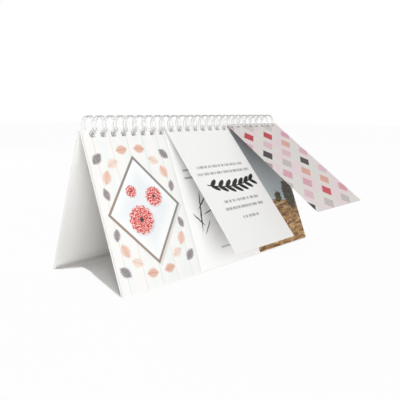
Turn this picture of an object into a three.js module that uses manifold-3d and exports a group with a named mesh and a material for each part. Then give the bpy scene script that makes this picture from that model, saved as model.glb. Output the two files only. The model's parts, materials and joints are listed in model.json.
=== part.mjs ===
import * as THREE from 'three';
import { mergeVertices } from 'three/addons/utils/BufferGeometryUtils.js';
import Module from 'manifold-3d';

// Desk flip book: a folding easel of four stiff boards with a raised crease in its base, a white
// twin-loop wire through the top of both tall boards, and three columns of leaves on the wire.
// Millimetres, +Z up, +X along the wire, the leaves' front towards -Y. The origin is the middle of
// the front board's foot. Angles about the wire are counted from straight down, round by the front.

// Driving dimensions: stand
const standWidth = 210;
const boardLength = 110;          // a tall board's outer face, from its top edge to the floor
const boardThickness = 1.1;
const boardSpread = 21.7;         // each tall board's angle from the vertical, degrees
const boardSetIn = 0.1;           // how far a tall board's outer face lies inside the wire's axis
const foldGap = 0.3;              // between the tall boards' inner faces at their top edges
const basePanelThickness = 1.0;
const basePanelSetBack = 0.3;     // from a base panel's hinge to its edge at the tall board
const baseSlope = 15.2;           // how steeply the base panels rise to the crease, degrees
const baseHingeHeight = 1.75;
const baseHingeRoom = 0.35;       // from a base hinge to the faces that fold together there
const basePanelInset = 0.5;       // from the stand's ends

// Driving dimensions: paper hinge strips
const tapeThickness = 0.2;
const tapeFlap = 7;
const tapeInset = 1.5;
const tapeGap = 0.08;
const creaseWidth = 16.92;        // the soft bend between the base panels, measured level
const creaseThickness = 0.5;
const creaseGap = 0.15;
const arcSteps = 6;

// Driving dimensions: wire
const holePitch = 25.4 / 3;
const holesPerLeaf = 8;
const wireDiameter = 0.9;
const wirePlay = 0.63;            // from the wire to the upper edge of a hole that it goes through
const pairSpacing = 2.3;          // between the two wires of a loop
const spineGap = 0.25;            // between the wire's spine and the rear board
const seamGap = 0.45;             // between the spine and the loops' tips
const spineCorner = 0.7;
const wireSides = 5;
const legSteps = 14;
const tipSteps = 4;
const cornerSteps = 2;

// Driving dimensions: leaves
const leafLength = 109;
const leafThickness = 0.18;
const leafGap = 0.12;
const leavesPerColumn = 4;
const columnGap = 0.6;
const holeWidth = 4;
const holeHeight = 3.2;
const holeMargin = 1.8;           // from a leaf's top edge to its holes
const columns = [
  { name: 'left', topLeafAngle: boardSpread, colour: 0xd9cfc4 },
  { name: 'middle', topLeafAngle: 40.8, colour: 0xe6e2dc },
  { name: 'right', topLeafAngle: 55.4, colour: 0xd8c9c0 },
];

const radians = THREE.MathUtils.degToRad;
const spread = radians(boardSpread);
const slope = radians(baseSlope);
const columnWidth = standWidth / columns.length;
const holeCount = holesPerLeaf * columns.length;

// Distances from the wire's axis. The tall boards' top edges lie where their inner faces come to
// within the fold gap, and the wire hangs the holes' upper edges on it with some play.
const innerSetIn = boardSetIn + boardThickness;
const boardTopRadius = (foldGap / 2 + innerSetIn * Math.cos(spread)) / Math.sin(spread);
const holeRadius = boardTopRadius + holeMargin + holeHeight / 2;
const wireRadius = boardTopRadius + holeMargin + wirePlay + wireDiameter / 2;
const spineOffset = spineGap + wireDiameter / 2 - boardSetIn;

// The wire's axis stands over the middle of the base, where a tall board's outer face meets the floor.
const outerReach = boardTopRadius + boardLength;
const axisHeight = outerReach * Math.cos(spread) + boardSetIn * Math.sin(spread);

// The middle of a tall board's foot, from the middle of the base.
const footMiddle = -(axisHeight * Math.tan(spread) - (boardSetIn + innerSetIn) / 2 / Math.cos(spread));

function material(colour, roughness) {
  return new THREE.MeshStandardMaterial({ color: colour, roughness, metalness: 0 });
}

function named(name, geometry, colour, roughness = 0.6) {
  const mesh = new THREE.Mesh(geometry, material(colour, roughness));
  mesh.name = name;
  return mesh;
}

const wasm = await Module();
wasm.setup();

function solidOf(geometry) {
  const bare = geometry.clone();
  bare.deleteAttribute('normal');
  bare.deleteAttribute('uv');
  const merged = mergeVertices(bare, 1e-4);
  return new wasm.Manifold(new wasm.Mesh({
    numProp: 3,
    vertProperties: new Float32Array(merged.attributes.position.array),
    triVerts: new Uint32Array(merged.index.array),
  }));
}

// The first geometry with all the others cut out of it.
function cutFrom(geometry, cutters) {
  const cut = cutters.reduce((rest, cutter) => rest.subtract(solidOf(cutter)), solidOf(geometry));
  const mesh = cut.getMesh();
  const result = new THREE.BufferGeometry();
  result.setAttribute('position', new THREE.BufferAttribute(mesh.vertProperties, 3));
  result.setIndex(new THREE.BufferAttribute(mesh.triVerts, 1));
  result.computeVertexNormals();
  return result;
}

// A box from its corners.
function block(from, to) {
  const geometry = new THREE.BoxGeometry(to[0] - from[0], to[1] - from[1], to[2] - from[2]);
  geometry.translate((from[0] + to[0]) / 2, (from[1] + to[1]) / 2, (from[2] + to[2]) / 2);
  return geometry;
}

// A flat sheet that hangs down from the wire's axis, from `near` to `far` along it, with its faces at
// y = frontY and y = frontY + thickness, and what punches its holes at the places along X.
function hangingSheet({ left, right, near, far, frontY, thickness, holes }) {
  const backY = frontY + thickness;
  const punches = holes.map((x) => block(
    [x - holeWidth / 2, frontY - thickness, -holeRadius - holeHeight / 2],
    [x + holeWidth / 2, backY + thickness, -holeRadius + holeHeight / 2],
  ));
  return { sheet: block([left, frontY, -far], [right, backY, -near]), punches };
}

// A bar along X with the given outline in Y and Z.
function crossBar(outline, width) {
  const settings = { depth: width, bevelEnabled: false, curveSegments: arcSteps };
  const geometry = new THREE.ExtrudeGeometry(outline, settings);
  geometry.rotateX(Math.PI / 2);
  geometry.rotateZ(Math.PI / 2);
  geometry.translate(-width / 2, 0, 0);
  return geometry;
}

const holePlace = (index) => (index - (holeCount - 1) / 2) * holePitch;
const allHoles = Array.from({ length: holeCount }, (_, index) => holePlace(index));

// A tall board in its own frame, hanging from the wire's axis, its outer face towards `outward` along Y.
// It is made a little too long and cut off along the floor.
function tallBoard(outward) {
  const outerY = -outward * boardSetIn;
  const innerY = -outward * innerSetIn;
  const { sheet, punches } = hangingSheet({
    left: -standWidth / 2,
    right: standWidth / 2,
    near: boardTopRadius,
    far: outerReach + boardThickness,
    frontY: Math.min(outerY, innerY),
    thickness: boardThickness,
    holes: allHoles,
  });
  const floor = block(
    [-standWidth, -boardLength, -axisHeight - boardLength],
    [standWidth, boardLength, -axisHeight],
  );
  floor.rotateX(outward * -spread);
  return cutFrom(sheet, [...punches, floor]);
}

// The height and distance of a base hinge, in the upright frame of the wire's axis: it lies inside its
// tall board's inner face by the hinge's room.
const hingeSetIn = innerSetIn + baseHingeRoom;
const hingeReach = (axisHeight - baseHingeHeight - hingeSetIn * Math.sin(spread)) / Math.cos(spread);
const hingeDistance = hingeReach * Math.sin(spread) - hingeSetIn * Math.cos(spread);

// How far a base panel reaches from its hinge, up to the soft bend in the middle of the base.
const creaseEndY = creaseWidth / 2;
const creaseEnd = (hingeDistance - baseHingeRoom * Math.sin(slope) - creaseEndY) / Math.cos(slope);
const basePanelReach = creaseEnd - creaseGap;

// A base panel in a frame at its hinge: it runs from the hinge along +Y, its top face just below.
function basePanel() {
  const geometry = new THREE.BoxGeometry(
    standWidth - 2 * basePanelInset,
    basePanelReach - basePanelSetBack,
    basePanelThickness,
  );
  geometry.translate(
    0,
    (basePanelReach + basePanelSetBack) / 2,
    -baseHingeRoom - basePanelThickness / 2,
  );
  return geometry;
}

// The paper strip in the corner between a tall board and its base panel, in the panel's frame: one
// flap lies on the panel, the other stands along the tall board's inner face.
function hingeTape() {
  const cornerAngle = Math.PI / 2 - spread - slope;
  const nearSide = -baseHingeRoom + tapeGap;
  const up = new THREE.Vector2(Math.cos(cornerAngle), Math.sin(cornerAngle));
  const inward = new THREE.Vector2(Math.sin(cornerAngle), -Math.cos(cornerAngle));
  // The point where a line this far from the board meets one this far above the panel.
  const corner = (fromBoard, abovePanel) => {
    const along = (abovePanel - fromBoard * inward.y) / up.y;
    return new THREE.Vector2(fromBoard * inward.x + along * up.x, abovePanel);
  };
  const outer = corner(nearSide, nearSide);
  const inner = corner(nearSide + tapeThickness, nearSide + tapeThickness);
  const cornerRun = inner.clone().sub(outer).dot(up);
  return new THREE.Shape([
    outer,
    new THREE.Vector2(tapeFlap, outer.y),
    new THREE.Vector2(tapeFlap, inner.y),
    inner,
    inner.clone().addScaledVector(up, tapeFlap),
    outer.clone().addScaledVector(up, tapeFlap + cornerRun),
  ]);
}

// The soft bend of paper between the base panels, in the upright frame of the wire's axis: its top face
// runs on from the panels' top faces.
function creaseStrip() {
  const endZ = baseHingeHeight + creaseEnd * Math.sin(slope) - baseHingeRoom * Math.cos(slope);
  const bendRadius = creaseEndY / Math.sin(slope);
  const middleZ = endZ - bendRadius * Math.cos(slope);
  const outline = new THREE.Shape();
  outline.absarc(0, middleZ, bendRadius, Math.PI / 2 + slope, Math.PI / 2 - slope, true);
  outline.absarc(0, middleZ, bendRadius - creaseThickness, Math.PI / 2 - slope, Math.PI / 2 + slope, false);
  return crossBar(outline, standWidth - 2 * basePanelInset);
}

// The wire is one length. From its first end it goes up each loop on the front side, over the top and
// down to the tip behind, turns there, comes back, and crosses to the next loop along the spine.
// A point is given by its place along X and its angle about the wire's axis.
const turnOf = (length) => length / wireRadius;
const spineAngle = -spread - Math.asin(spineOffset / wireRadius);
const tipEndAngle = 2 * Math.PI + spineAngle - turnOf(wireDiameter + seamGap);

function wireRoute() {
  const route = [];
  const halfPair = pairSpacing / 2;
  const legStart = spineAngle + turnOf(spineCorner);
  const legEnd = tipEndAngle - turnOf(halfPair);
  const add = (x, angle) => route.push({ x, angle });
  const leg = (x, from, to) => {
    for (let step = 0; step <= legSteps; step += 1) {
      add(x, from + (to - from) * step / legSteps);
    }
  };
  allHoles.forEach((middle, index) => {
    const leftLeg = middle - halfPair;
    const rightLeg = middle + halfPair;
    leg(leftLeg, index === 0 ? spineAngle : legStart, legEnd);
    for (let step = 1; step < tipSteps; step += 1) {
      const turn = Math.PI * step / tipSteps;
      add(middle - halfPair * Math.cos(turn), legEnd + turnOf(halfPair * Math.sin(turn)));
    }
    const last = index === holeCount - 1;
    leg(rightLeg, legEnd, last ? spineAngle : legStart);
    if (last) {
      return;
    }
    const nextLeg = allHoles[index + 1] - halfPair;
    for (let step = 1; step <= cornerSteps; step += 1) {
      const turn = Math.PI / 2 * step / cornerSteps;
      add(rightLeg + spineCorner * (1 - Math.cos(turn)), legStart - turnOf(spineCorner * Math.sin(turn)));
    }
    for (let step = 0; step < cornerSteps; step += 1) {
      const turn = Math.PI / 2 * (1 - step / cornerSteps);
      add(nextLeg - spineCorner * (1 - Math.cos(turn)), legStart - turnOf(spineCorner * Math.sin(turn)));
    }
  });
  return route;
}

// A point at this distance from the wire's axis, at this angle about it.
function aboutAxis(x, angle, radius) {
  return new THREE.Vector3(x, -radius * Math.sin(angle), -radius * Math.cos(angle));
}

function wireGeometry(route) {
  const points = route.map(({ x, angle }) => aboutAxis(x, angle, wireRadius));
  const vertices = [];
  points.forEach((point, index) => {
    const before = points[Math.max(index - 1, 0)];
    const after = points[Math.min(index + 1, points.length - 1)];
    const along = after.clone().sub(before).normalize();
    const outward = aboutAxis(0, route[index].angle, 1);
    outward.addScaledVector(along, -outward.dot(along)).normalize();
    const across = along.clone().cross(outward);
    for (let side = 0; side < wireSides; side += 1) {
      const turn = 2 * Math.PI * side / wireSides;
      const place = point.clone()
        .addScaledVector(outward, wireDiameter / 2 * Math.cos(turn))
        .addScaledVector(across, wireDiameter / 2 * Math.sin(turn));
      vertices.push(place.x, place.y, place.z);
    }
  });
  const faces = [];
  for (let ring = 0; ring + 1 < points.length; ring += 1) {
    for (let side = 0; side < wireSides; side += 1) {
      const a = ring * wireSides + side;
      const b = ring * wireSides + (side + 1) % wireSides;
      faces.push(a, b, b + wireSides, a, b + wireSides, a + wireSides);
    }
  }
  const lastRing = (points.length - 1) * wireSides;
  for (let side = 1; side + 1 < wireSides; side += 1) {
    faces.push(0, side + 1, side);
    faces.push(lastRing, lastRing + side, lastRing + side + 1);
  }
  const geometry = new THREE.BufferGeometry();
  geometry.setAttribute('position', new THREE.Float32BufferAttribute(vertices, 3));
  geometry.setIndex(faces);
  geometry.computeVertexNormals();
  return geometry;
}

// The least clear space between two stretches of the wire that are further apart along it than
// `apart`, measured on points spaced closely along its route.
function leastGap(route, apart) {
  const samples = [];
  let run = 0;
  for (let index = 1; index < route.length; index += 1) {
    const from = aboutAxis(route[index - 1].x, route[index - 1].angle, wireRadius);
    const to = aboutAxis(route[index].x, route[index].angle, wireRadius);
    const length = from.distanceTo(to);
    const steps = Math.ceil(length / (wireDiameter / 2));
    for (let step = 0; step < steps; step += 1) {
      samples.push({ place: from.clone().lerp(to, step / steps), run: run + length * step / steps });
    }
    run += length;
  }
  let least = Infinity;
  for (let a = 0; a < samples.length; a += 1) {
    for (let b = a + 1; b < samples.length; b += 1) {
      if (samples[b].run - samples[a].run > apart) {
        least = Math.min(least, samples[a].place.distanceTo(samples[b].place));
      }
    }
  }
  return least - wireDiameter;
}

// Assembly. The frame of the wire's axis holds all; a tall board or a leaf hangs from it, turned.
const flipBook = new THREE.Group();
const axisFrame = new THREE.Group();
axisFrame.position.set(0, -footMiddle, axisHeight);
flipBook.add(axisFrame);

function hangAt(angle, mesh) {
  const hanger = new THREE.Group();
  hanger.rotation.x = -angle;
  hanger.add(mesh);
  axisFrame.add(hanger);
}

const white = 0xf2f1ee;
hangAt(spread, named('front_board', tallBoard(-1), white));
hangAt(-spread, named('rear_board', tallBoard(1), white));

for (const side of [{ word: 'front', turned: 0 }, { word: 'rear', turned: Math.PI }]) {
  const half = new THREE.Group();
  half.rotation.z = side.turned;
  const hinge = new THREE.Group();
  hinge.position.set(0, -hingeDistance, baseHingeHeight - axisHeight);
  hinge.rotation.x = slope;
  const tape = crossBar(hingeTape(), standWidth - 2 * tapeInset);
  hinge.add(named(`base_${side.word}_panel`, basePanel(), white));
  hinge.add(named(`${side.word}_hinge_strip`, tape, white));
  half.add(hinge);
  axisFrame.add(half);
}
const crease = named('base_crease_strip', creaseStrip(), white);
crease.position.z = -axisHeight;
axisFrame.add(crease);

const route = wireRoute();
axisFrame.add(named('twin_loop_wire', wireGeometry(route), 0xe9e9e9, 0.4));
console.log(`least gap in the wire: ${leastGap(route, 3 * wireDiameter).toFixed(2)} mm`);

// Leaf 1 lies on top and leaf 2 is the next, down to the last one on the front board.
columns.forEach((column, columnIndex) => {
  const left = -standWidth / 2 + columnIndex * columnWidth + columnGap / 2;
  const holes = allHoles.slice(columnIndex * holesPerLeaf, (columnIndex + 1) * holesPerLeaf);
  for (let number = 1; number <= leavesPerColumn; number += 1) {
    const below = leavesPerColumn - number;
    const outward = -boardSetIn + leafGap + below * (leafThickness + leafGap);
    const { sheet, punches } = hangingSheet({
      left,
      right: left + columnWidth - columnGap,
      near: boardTopRadius,
      far: boardTopRadius + leafLength,
      frontY: -outward - leafThickness,
      thickness: leafThickness,
      holes,
    });
    const angle = number === 1 ? radians(column.topLeafAngle) : spread;
    hangAt(angle, named(`leaf_${column.name}_${number}`, cutFrom(sheet, punches), column.colour, 0.55));
  }
});

export default flipBook;
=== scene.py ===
"""A desk flip book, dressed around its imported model.

A folding easel of four paper-covered boards stands like a tent. A white twin-loop wire runs through
the top of both tall boards and carries three columns of cards, each of which turns over by itself.
Sizes in the classes below are millimetres and degrees, and meshes are in metres. A print is laid out
in millimetres on its card: x from the left edge and y down from the top edge.
"""

from __future__ import annotations

import json
import logging
import math
from collections.abc import Callable, Sequence
from dataclasses import dataclass, field, replace
from enum import Enum

import bmesh
import bpy
from mathutils import Matrix, Vector

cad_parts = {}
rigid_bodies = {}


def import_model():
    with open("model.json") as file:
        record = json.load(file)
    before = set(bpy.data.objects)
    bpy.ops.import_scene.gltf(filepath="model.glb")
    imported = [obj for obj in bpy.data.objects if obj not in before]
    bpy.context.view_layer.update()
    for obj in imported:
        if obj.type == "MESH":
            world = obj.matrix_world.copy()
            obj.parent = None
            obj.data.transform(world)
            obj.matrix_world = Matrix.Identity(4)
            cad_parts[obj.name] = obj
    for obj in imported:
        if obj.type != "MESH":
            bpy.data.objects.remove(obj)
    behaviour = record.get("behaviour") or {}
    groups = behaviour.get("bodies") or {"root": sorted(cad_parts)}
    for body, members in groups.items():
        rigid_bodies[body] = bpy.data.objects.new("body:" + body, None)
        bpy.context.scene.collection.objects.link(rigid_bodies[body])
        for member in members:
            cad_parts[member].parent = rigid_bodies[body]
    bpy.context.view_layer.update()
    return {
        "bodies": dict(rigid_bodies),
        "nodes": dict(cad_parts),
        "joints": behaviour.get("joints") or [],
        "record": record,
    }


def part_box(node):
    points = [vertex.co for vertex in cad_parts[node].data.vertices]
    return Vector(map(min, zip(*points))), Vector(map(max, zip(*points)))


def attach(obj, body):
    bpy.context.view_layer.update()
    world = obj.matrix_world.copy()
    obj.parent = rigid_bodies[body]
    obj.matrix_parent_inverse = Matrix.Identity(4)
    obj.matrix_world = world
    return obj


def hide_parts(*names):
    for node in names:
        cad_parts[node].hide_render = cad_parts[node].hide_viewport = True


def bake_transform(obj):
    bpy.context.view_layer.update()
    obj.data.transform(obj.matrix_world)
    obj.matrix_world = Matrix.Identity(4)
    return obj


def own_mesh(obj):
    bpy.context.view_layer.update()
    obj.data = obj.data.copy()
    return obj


LOG = logging.getLogger("flip_book")
MM = 0.001
Point = tuple[float, float]
NOISE_RANGE: Point = (0.3, 0.7)
CARD_LAYOUT = "card_layout"
SAME_PLACE = 1e-7
# The base's paper: greyer than the cover, partly its own tone and partly painted shade of the tent's inside.
BASE_PAPER_AND_PAINTED_SHADE = "#d6d4d2"


def linear(code: str) -> tuple[float, float, float, float]:
    """A screen colour, written as on the web, in the linear numbers that shaders take.

    Args:
        code: Six hexadecimal digits after a hash sign.

    Returns:
        Red, green, blue and alpha.
    """
    parts = [int(code[start:start + 2], 16) / 255 for start in (1, 3, 5)]
    return (*[((part + 0.055) / 1.055) ** 2.4 if part > 0.04045 else part / 12.92 for part in parts], 1.0)


# Shader sheets


class Value:
    """A socket of a finish's node sheet, with the operators that the finishes use."""

    def __init__(self, sheet: Sheet, socket: bpy.types.NodeSocket) -> None:
        """Keeps the socket and the sheet that new nodes go to."""
        self.sheet = sheet
        self.socket = socket

    def of(self, operation: str, other: Value | float = 0.0) -> Value:
        """One Math operation on this number, and on another one where it takes two."""
        return self.sheet.node("ShaderNodeMath", {"operation": operation}, {0: self, 1: other})

    def __add__(self, other: Value | float) -> Value:
        """self + other."""
        return self.of("ADD", other)

    __radd__ = __add__

    def __sub__(self, other: Value | float) -> Value:
        """self - other."""
        return self.of("SUBTRACT", other)

    def __rsub__(self, other: float) -> Value:
        """other - self."""
        return self * -1.0 + other

    def __mul__(self, other: Value | float) -> Value:
        """self * other."""
        return self.of("MULTIPLY", other)

    __rmul__ = __mul__

    def __truediv__(self, other: float) -> Value:
        """self / other."""
        return self.of("DIVIDE", other)

    def most(self, other: Value | float) -> Value:
        """The larger of the two."""
        return self.of("MAXIMUM", other)


class Sheet:
    """The node sheet of one material, written as expressions."""

    def __init__(self, name: str) -> None:
        """Starts an empty sheet with its surface shader and output.

        Args:
            name: The material's name.
        """
        self.material = bpy.data.materials.new(name)
        self.material.use_nodes = True
        self.tree = self.material.node_tree
        self.tree.nodes.clear()
        self.surface = self.tree.nodes.new("ShaderNodeBsdfPrincipled")
        self.output = self.tree.nodes.new("ShaderNodeOutputMaterial")
        self.tree.links.new(self.surface.outputs["BSDF"], self.output.inputs["Surface"])

    def node(self, kind: str, settings: dict[str, object] | None = None,
             inputs: dict[str | int, object] | None = None, output: str | int = 0) -> Value:
        """Adds one node.

        Args:
            kind: The node's type.
            settings: Its own settings, which are set first. A ramp's stops are a list of places and colours.
            inputs: What goes into its sockets: a Value, a number, a vector or a colour.
            output: The socket that is handed back.

        Returns:
            The chosen output.
        """
        made = self.tree.nodes.new(kind)
        for name, setting in (settings or {}).items():
            if name == "stops":
                self._set_stops(made.color_ramp, setting)
            else:
                setattr(made, name, setting)
        for socket, value in (inputs or {}).items():
            self.feed(made.inputs[socket], value)
        return Value(self, made.outputs[output])

    def feed(self, socket: bpy.types.NodeSocket, value: object) -> None:
        """Links a Value to a socket, or sets a plain number, vector or colour on it.

        Args:
            socket: The socket to feed.
            value: What goes into it.
        """
        if isinstance(value, Value):
            self.tree.links.new(value.socket, socket)
        else:
            socket.default_value = value

    @staticmethod
    def _set_stops(ramp: bpy.types.ColorRamp, stops: Sequence[tuple[float, str]]) -> None:
        """Writes a ramp's stops, each a place and a colour.

        Args:
            ramp: The ramp.
            stops: Its places from 0 to 1, with their colours.
        """
        while len(ramp.elements) < len(stops):
            ramp.elements.new(1.0)
        for element, (place, code) in zip(ramp.elements, stops):
            element.position = place
            element.color = linear(code)

    def set(self, **values: object) -> None:
        """Sets sockets of the surface shader; an underscore in a name stands for a space."""
        for name, value in values.items():
            self.feed(self.surface.inputs[name.replace("_", " ")], value)

    def vector(self, operation: str, first: Value, second: object = (0.0, 0.0, 0.0)) -> Value:
        """One Vector Math operation on a vector, and on another one where it takes two."""
        return self.node("ShaderNodeVectorMath", {"operation": operation}, {0: first, 1: second})

    def radius(self, vector: Value) -> Value:
        """A vector's length."""
        return self.node("ShaderNodeVectorMath", {"operation": "LENGTH"}, {0: vector}, output="Value")

    def object_millimetres(self) -> Value:
        """The place on the object, in millimetres."""
        place = self.node("ShaderNodeTexCoord", output="Object")
        return self.vector("MULTIPLY", place, (1 / MM, 1 / MM, 1 / MM))

    def card_millimetres(self, width: float, length: float) -> Value:
        """The place on a card of that size, x from its left edge and y down from its top edge."""
        place = self.node("ShaderNodeUVMap", {"uv_map": CARD_LAYOUT})
        return self.vector("MULTIPLY", place, (width, length, 1.0))

    def split(self, vector: Value) -> tuple[Value, Value, Value]:
        """A vector's three numbers."""
        outputs = self.node("ShaderNodeSeparateXYZ", {}, {0: vector}).socket.node.outputs
        return Value(self, outputs[0]), Value(self, outputs[1]), Value(self, outputs[2])

    def noise(self, place: Value, scale: float, detail: float = 2.0, rough: float = 0.5) -> Value:
        """Noise from 0 to 1 whose blots are about 1 / scale across."""
        inputs = {"Vector": place, "Scale": scale, "Detail": detail, "Roughness": rough}
        return self.node("ShaderNodeTexNoise", {}, inputs)

    def wander(self, place: Value, drift: Value, reach: Point) -> Value:
        """The place, moved by a noise: by up to half of the reach to each side."""
        moves = {axis: drift * length - length / 2 for axis, length in enumerate(reach)}
        return self.vector("ADD", place, self.node("ShaderNodeCombineXYZ", {}, moves))

    def stretched(self, place: Value, scale: Point, turn: float = 0.0) -> Value:
        """The place, scaled and turned, so that a noise on it is drawn out."""
        inputs = {"Vector": place, "Rotation": (0.0, 0.0, math.radians(turn)), "Scale": (*scale, 1.0)}
        return self.node("ShaderNodeMapping", {}, inputs)

    def step(self, value: Value, start: float, end: float, low: float = 0.0, high: float = 1.0) -> Value:
        """A soft step: low where the value is under start, high where it is over end."""
        limits = {0: value, 1: start, 2: end, 3: low, 4: high}
        return self.node("ShaderNodeMapRange", {"interpolation_type": "SMOOTHSTEP"}, limits)

    def thread(self, value: Value, half: float, soft: float) -> Value:
        """A band about 0: 1 where the value is nearer than half, with soft edges."""
        return self.step(value.of("ABSOLUTE"), half + soft, half - soft)

    def mix(self, mask: Value | float, below: object, above: object) -> Value:
        """The colour above where the mask is 1, and the colour below where it is 0.

        Args:
            mask: From 0 to 1.
            below: A colour, or its code.
            above: A colour, or its code.

        Returns:
            The mixed colour.
        """
        below = linear(below) if isinstance(below, str) else below
        above = linear(above) if isinstance(above, str) else above
        return self.node("ShaderNodeMix", {"data_type": "RGBA"}, {0: mask, 6: below, 7: above}, output=2)

    def local(self, place: Value, centre: Point, size: Point, turn: float = 0.0) -> Value:
        """The place as seen from a mark: from its centre, turned, in shares of its half size.

        Args:
            place: The place on the card.
            centre: The mark's middle.
            size: Its half sizes.
            turn: Its turn in degrees.

        Returns:
            The place within the mark.
        """
        inputs = {"Vector": place, "Location": (*centre, 0.0), "Scale": (*size, 1.0)}
        inputs["Rotation"] = (0.0, 0.0, math.radians(turn))
        return self.node("ShaderNodeMapping", {"vector_type": "TEXTURE"}, inputs)

    def oval(self, place: Value, centre: Point, size: Point, turn: float = 0.0, soft: float = 0.12) -> Value:
        """The mask of an oval mark with half sizes along its own axes."""
        return self.step(self.radius(self.local(place, centre, size, turn)), 1 + soft, 1 - soft)

    def blade(self, place: Value, centre: Point, size: Point, turn: float = 0.0, soft: float = 0.12) -> Value:
        """The mask of a leaf that is pointed at both ends along its second half size."""
        across, along, _ = self.split(self.vector("ABSOLUTE", self.local(place, centre, size, turn)))
        return self.step(across + along * along, 1 + soft, 1 - soft)

    def bar(self, place: Value, centre: Point, size: Point, turn: float = 0.0, soft: float = 0.2) -> Value:
        """The mask of a bar with half sizes along its own axes.

        Args:
            place: The place on the card.
            centre: The bar's middle.
            size: Its half sizes.
            turn: Its turn in degrees.
            soft: How soft its edges are, as a share of its smaller half size.

        Returns:
            The mask.
        """
        across, along, _ = self.split(self.vector("ABSOLUTE", self.local(place, centre, size, turn)))
        softness = [soft * min(size) / half for half in size]
        masks = [self.step(off, 1 + part, 1 - part) for off, part in zip((across, along), softness)]
        return masks[0] * masks[1]

    def bump(self, height: Value, distance: float) -> Value:
        """A normal from a height of 0 to 1 that stands for that many millimetres."""
        return self.node("ShaderNodeBump", {}, {"Height": height, "Distance": distance * MM, "Strength": 1.0})


# Finishes


@dataclass(frozen=True)
class Paper:
    """White cover paper or card without a print: fine fibres, a breath of tone and a matt skin."""

    name: str
    tone: str = "#f6f5f3"
    shade: str = "#f4f3f0"
    roughness: float = 0.62
    relief: float = 0.012
    cloud_scale: float = 0.03
    fibre_scale: float = 3.2
    gloss_spread: float = 0.05

    def material(self) -> bpy.types.Material:
        """Makes the finish.

        Returns:
            The material, with its colour, gloss and relief.
        """
        sheet = Sheet(self.name)
        place = sheet.object_millimetres()
        cloud = sheet.noise(place, self.cloud_scale)
        fibres = sheet.noise(place, self.fibre_scale, 4.0, 0.65)
        colour = sheet.mix(sheet.step(cloud + fibres * 0.2, 0.35, 0.8), self.tone, self.shade)
        gloss = (self.roughness - self.gloss_spread, self.roughness + self.gloss_spread)
        sheet.set(
            Base_Color=self.graded(sheet, place, colour),
            Roughness=sheet.step(fibres, *NOISE_RANGE, *gloss),
            Normal=sheet.bump(fibres, self.relief),
        )
        return sheet.material

    def graded(self, sheet: Sheet, place: Value, colour: Value) -> Value:
        """The paper's colour at a place: even, unless a kind of paper says otherwise."""
        return colour


@dataclass(frozen=True)
class CornerPaper(Paper):
    """Paper of a corner strip: the base's tone, with its painted shade, where it lies on the base, and the
    boards' tone above it.

    The middle is the stand's, along Y. The hinge is given by its distance from that and its height, all
    in millimetres, and the slope is the base's, in radians.
    """

    middle: float = 0.0
    hinge: Point = (0.0, 0.0)
    slope: float = 0.0
    # The base's tone, partly painted shade, so the strip is darker down in the corner.
    low: str = BASE_PAPER_AND_PAINTED_SHADE
    rise: Point = (0.1, 2.2)

    def graded(self, sheet: Sheet, place: Value, colour: Value) -> Value:
        """The paper's colour at a place, by its height above the base panel in millimetres.

        Args:
            sheet: The sheet to draw on.
            place: The place on the object, in millimetres.
            colour: The colour high up.

        Returns:
            The graded colour.
        """
        _, depth, height = sheet.split(place)
        outward = (depth - self.middle).of("ABSOLUTE") - self.hinge[0]
        above = (height - self.hinge[1]) * math.cos(self.slope) + outward * math.sin(self.slope)
        # Low down the strip takes the base's tone and its painted shade.
        return sheet.mix(sheet.step(above, *self.rise), self.low, colour)


@dataclass(frozen=True)
class WireCoating:
    """White nylon on wire: satin, a little uneven where it was dipped.

    It carries painted shade: greyer over the top of the loops and along their flanks, and darkest on one side
    of each leg where it dips into its hole. Levels are shares of the loops' radius from the axis up, and
    bands across a leg are in millimetres.
    """

    axis: Vector
    radius: float
    pair: float
    pitch: float
    name: str = "wire_coating"
    tone: str = "#fafaf9"
    shade: str = "#f2f2f0"
    # Painted shade over the loops' tops.
    top: str = "#cfcfcd"
    # Painted shade along the legs' flanks.
    side: str = "#c8c8c6"
    # Painted shade down in the holes.
    low: str = "#7f7f7d"
    top_band: Point = (0.68, 0.97)
    side_band: Point = (0.2, 0.42)
    side_end: Point = (0.62, 0.5)
    side_strength: float = 0.6
    flank_band: Point = (-0.3, 0.05)
    dip_start: Point = (-0.1, -0.3)
    dip_end: Point = (-0.88, -0.8)
    gloss: Point = (0.3, 0.42)
    coat: float = 0.3
    relief: float = 0.01

    def material(self) -> bpy.types.Material:
        """Makes the finish.

        Returns:
            The material, with its colour, gloss, relief and coat.
        """
        sheet = Sheet(self.name)
        place = sheet.object_millimetres()
        dips = sheet.noise(place, 0.8, 3.0)
        grain = sheet.noise(place, 9.0, 2.0)
        across, depth, height = sheet.split(place)
        ahead = (self.axis.y / MM - depth) / self.radius
        level = (height - self.axis.z / MM) / self.radius
        colour = sheet.mix(sheet.step(dips, 0.4, 0.7), self.tone, self.shade)
        # Painted shade over the top of the loops.
        colour = sheet.mix(sheet.step(level, *self.top_band), colour, self.top)
        # Painted shade along the flanks of each leg.
        from_hole = ((across / self.pitch).of("FRACT") - 0.5) * self.pitch
        off_leg = (from_hole.of("ABSOLUTE") - self.pair / 2).of("ABSOLUTE")
        sides = sheet.step(off_leg, *self.side_band) * sheet.step(off_leg, *self.side_end)
        colour = sheet.mix(sides * self.side_strength, colour, self.side)
        # Painted shade, darkest on one side of each leg's front where it dips into its hole.
        painted_hole_shade_side = sheet.step(from_hole - from_hole.of("SIGN") * (self.pair / 2), *self.flank_band)
        front = sheet.step(ahead, 0.0, 0.3)
        painted_hole_shade = front * sheet.step(level, *self.dip_start) * sheet.step(level, *self.dip_end)
        sheet.set(
            Base_Color=sheet.mix(painted_hole_shade * painted_hole_shade_side, colour, self.low),
            Roughness=sheet.step(dips, *NOISE_RANGE, *self.gloss),
            Normal=sheet.bump(grain, self.relief),
            Coat_Weight=self.coat,
        )
        return sheet.material


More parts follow.
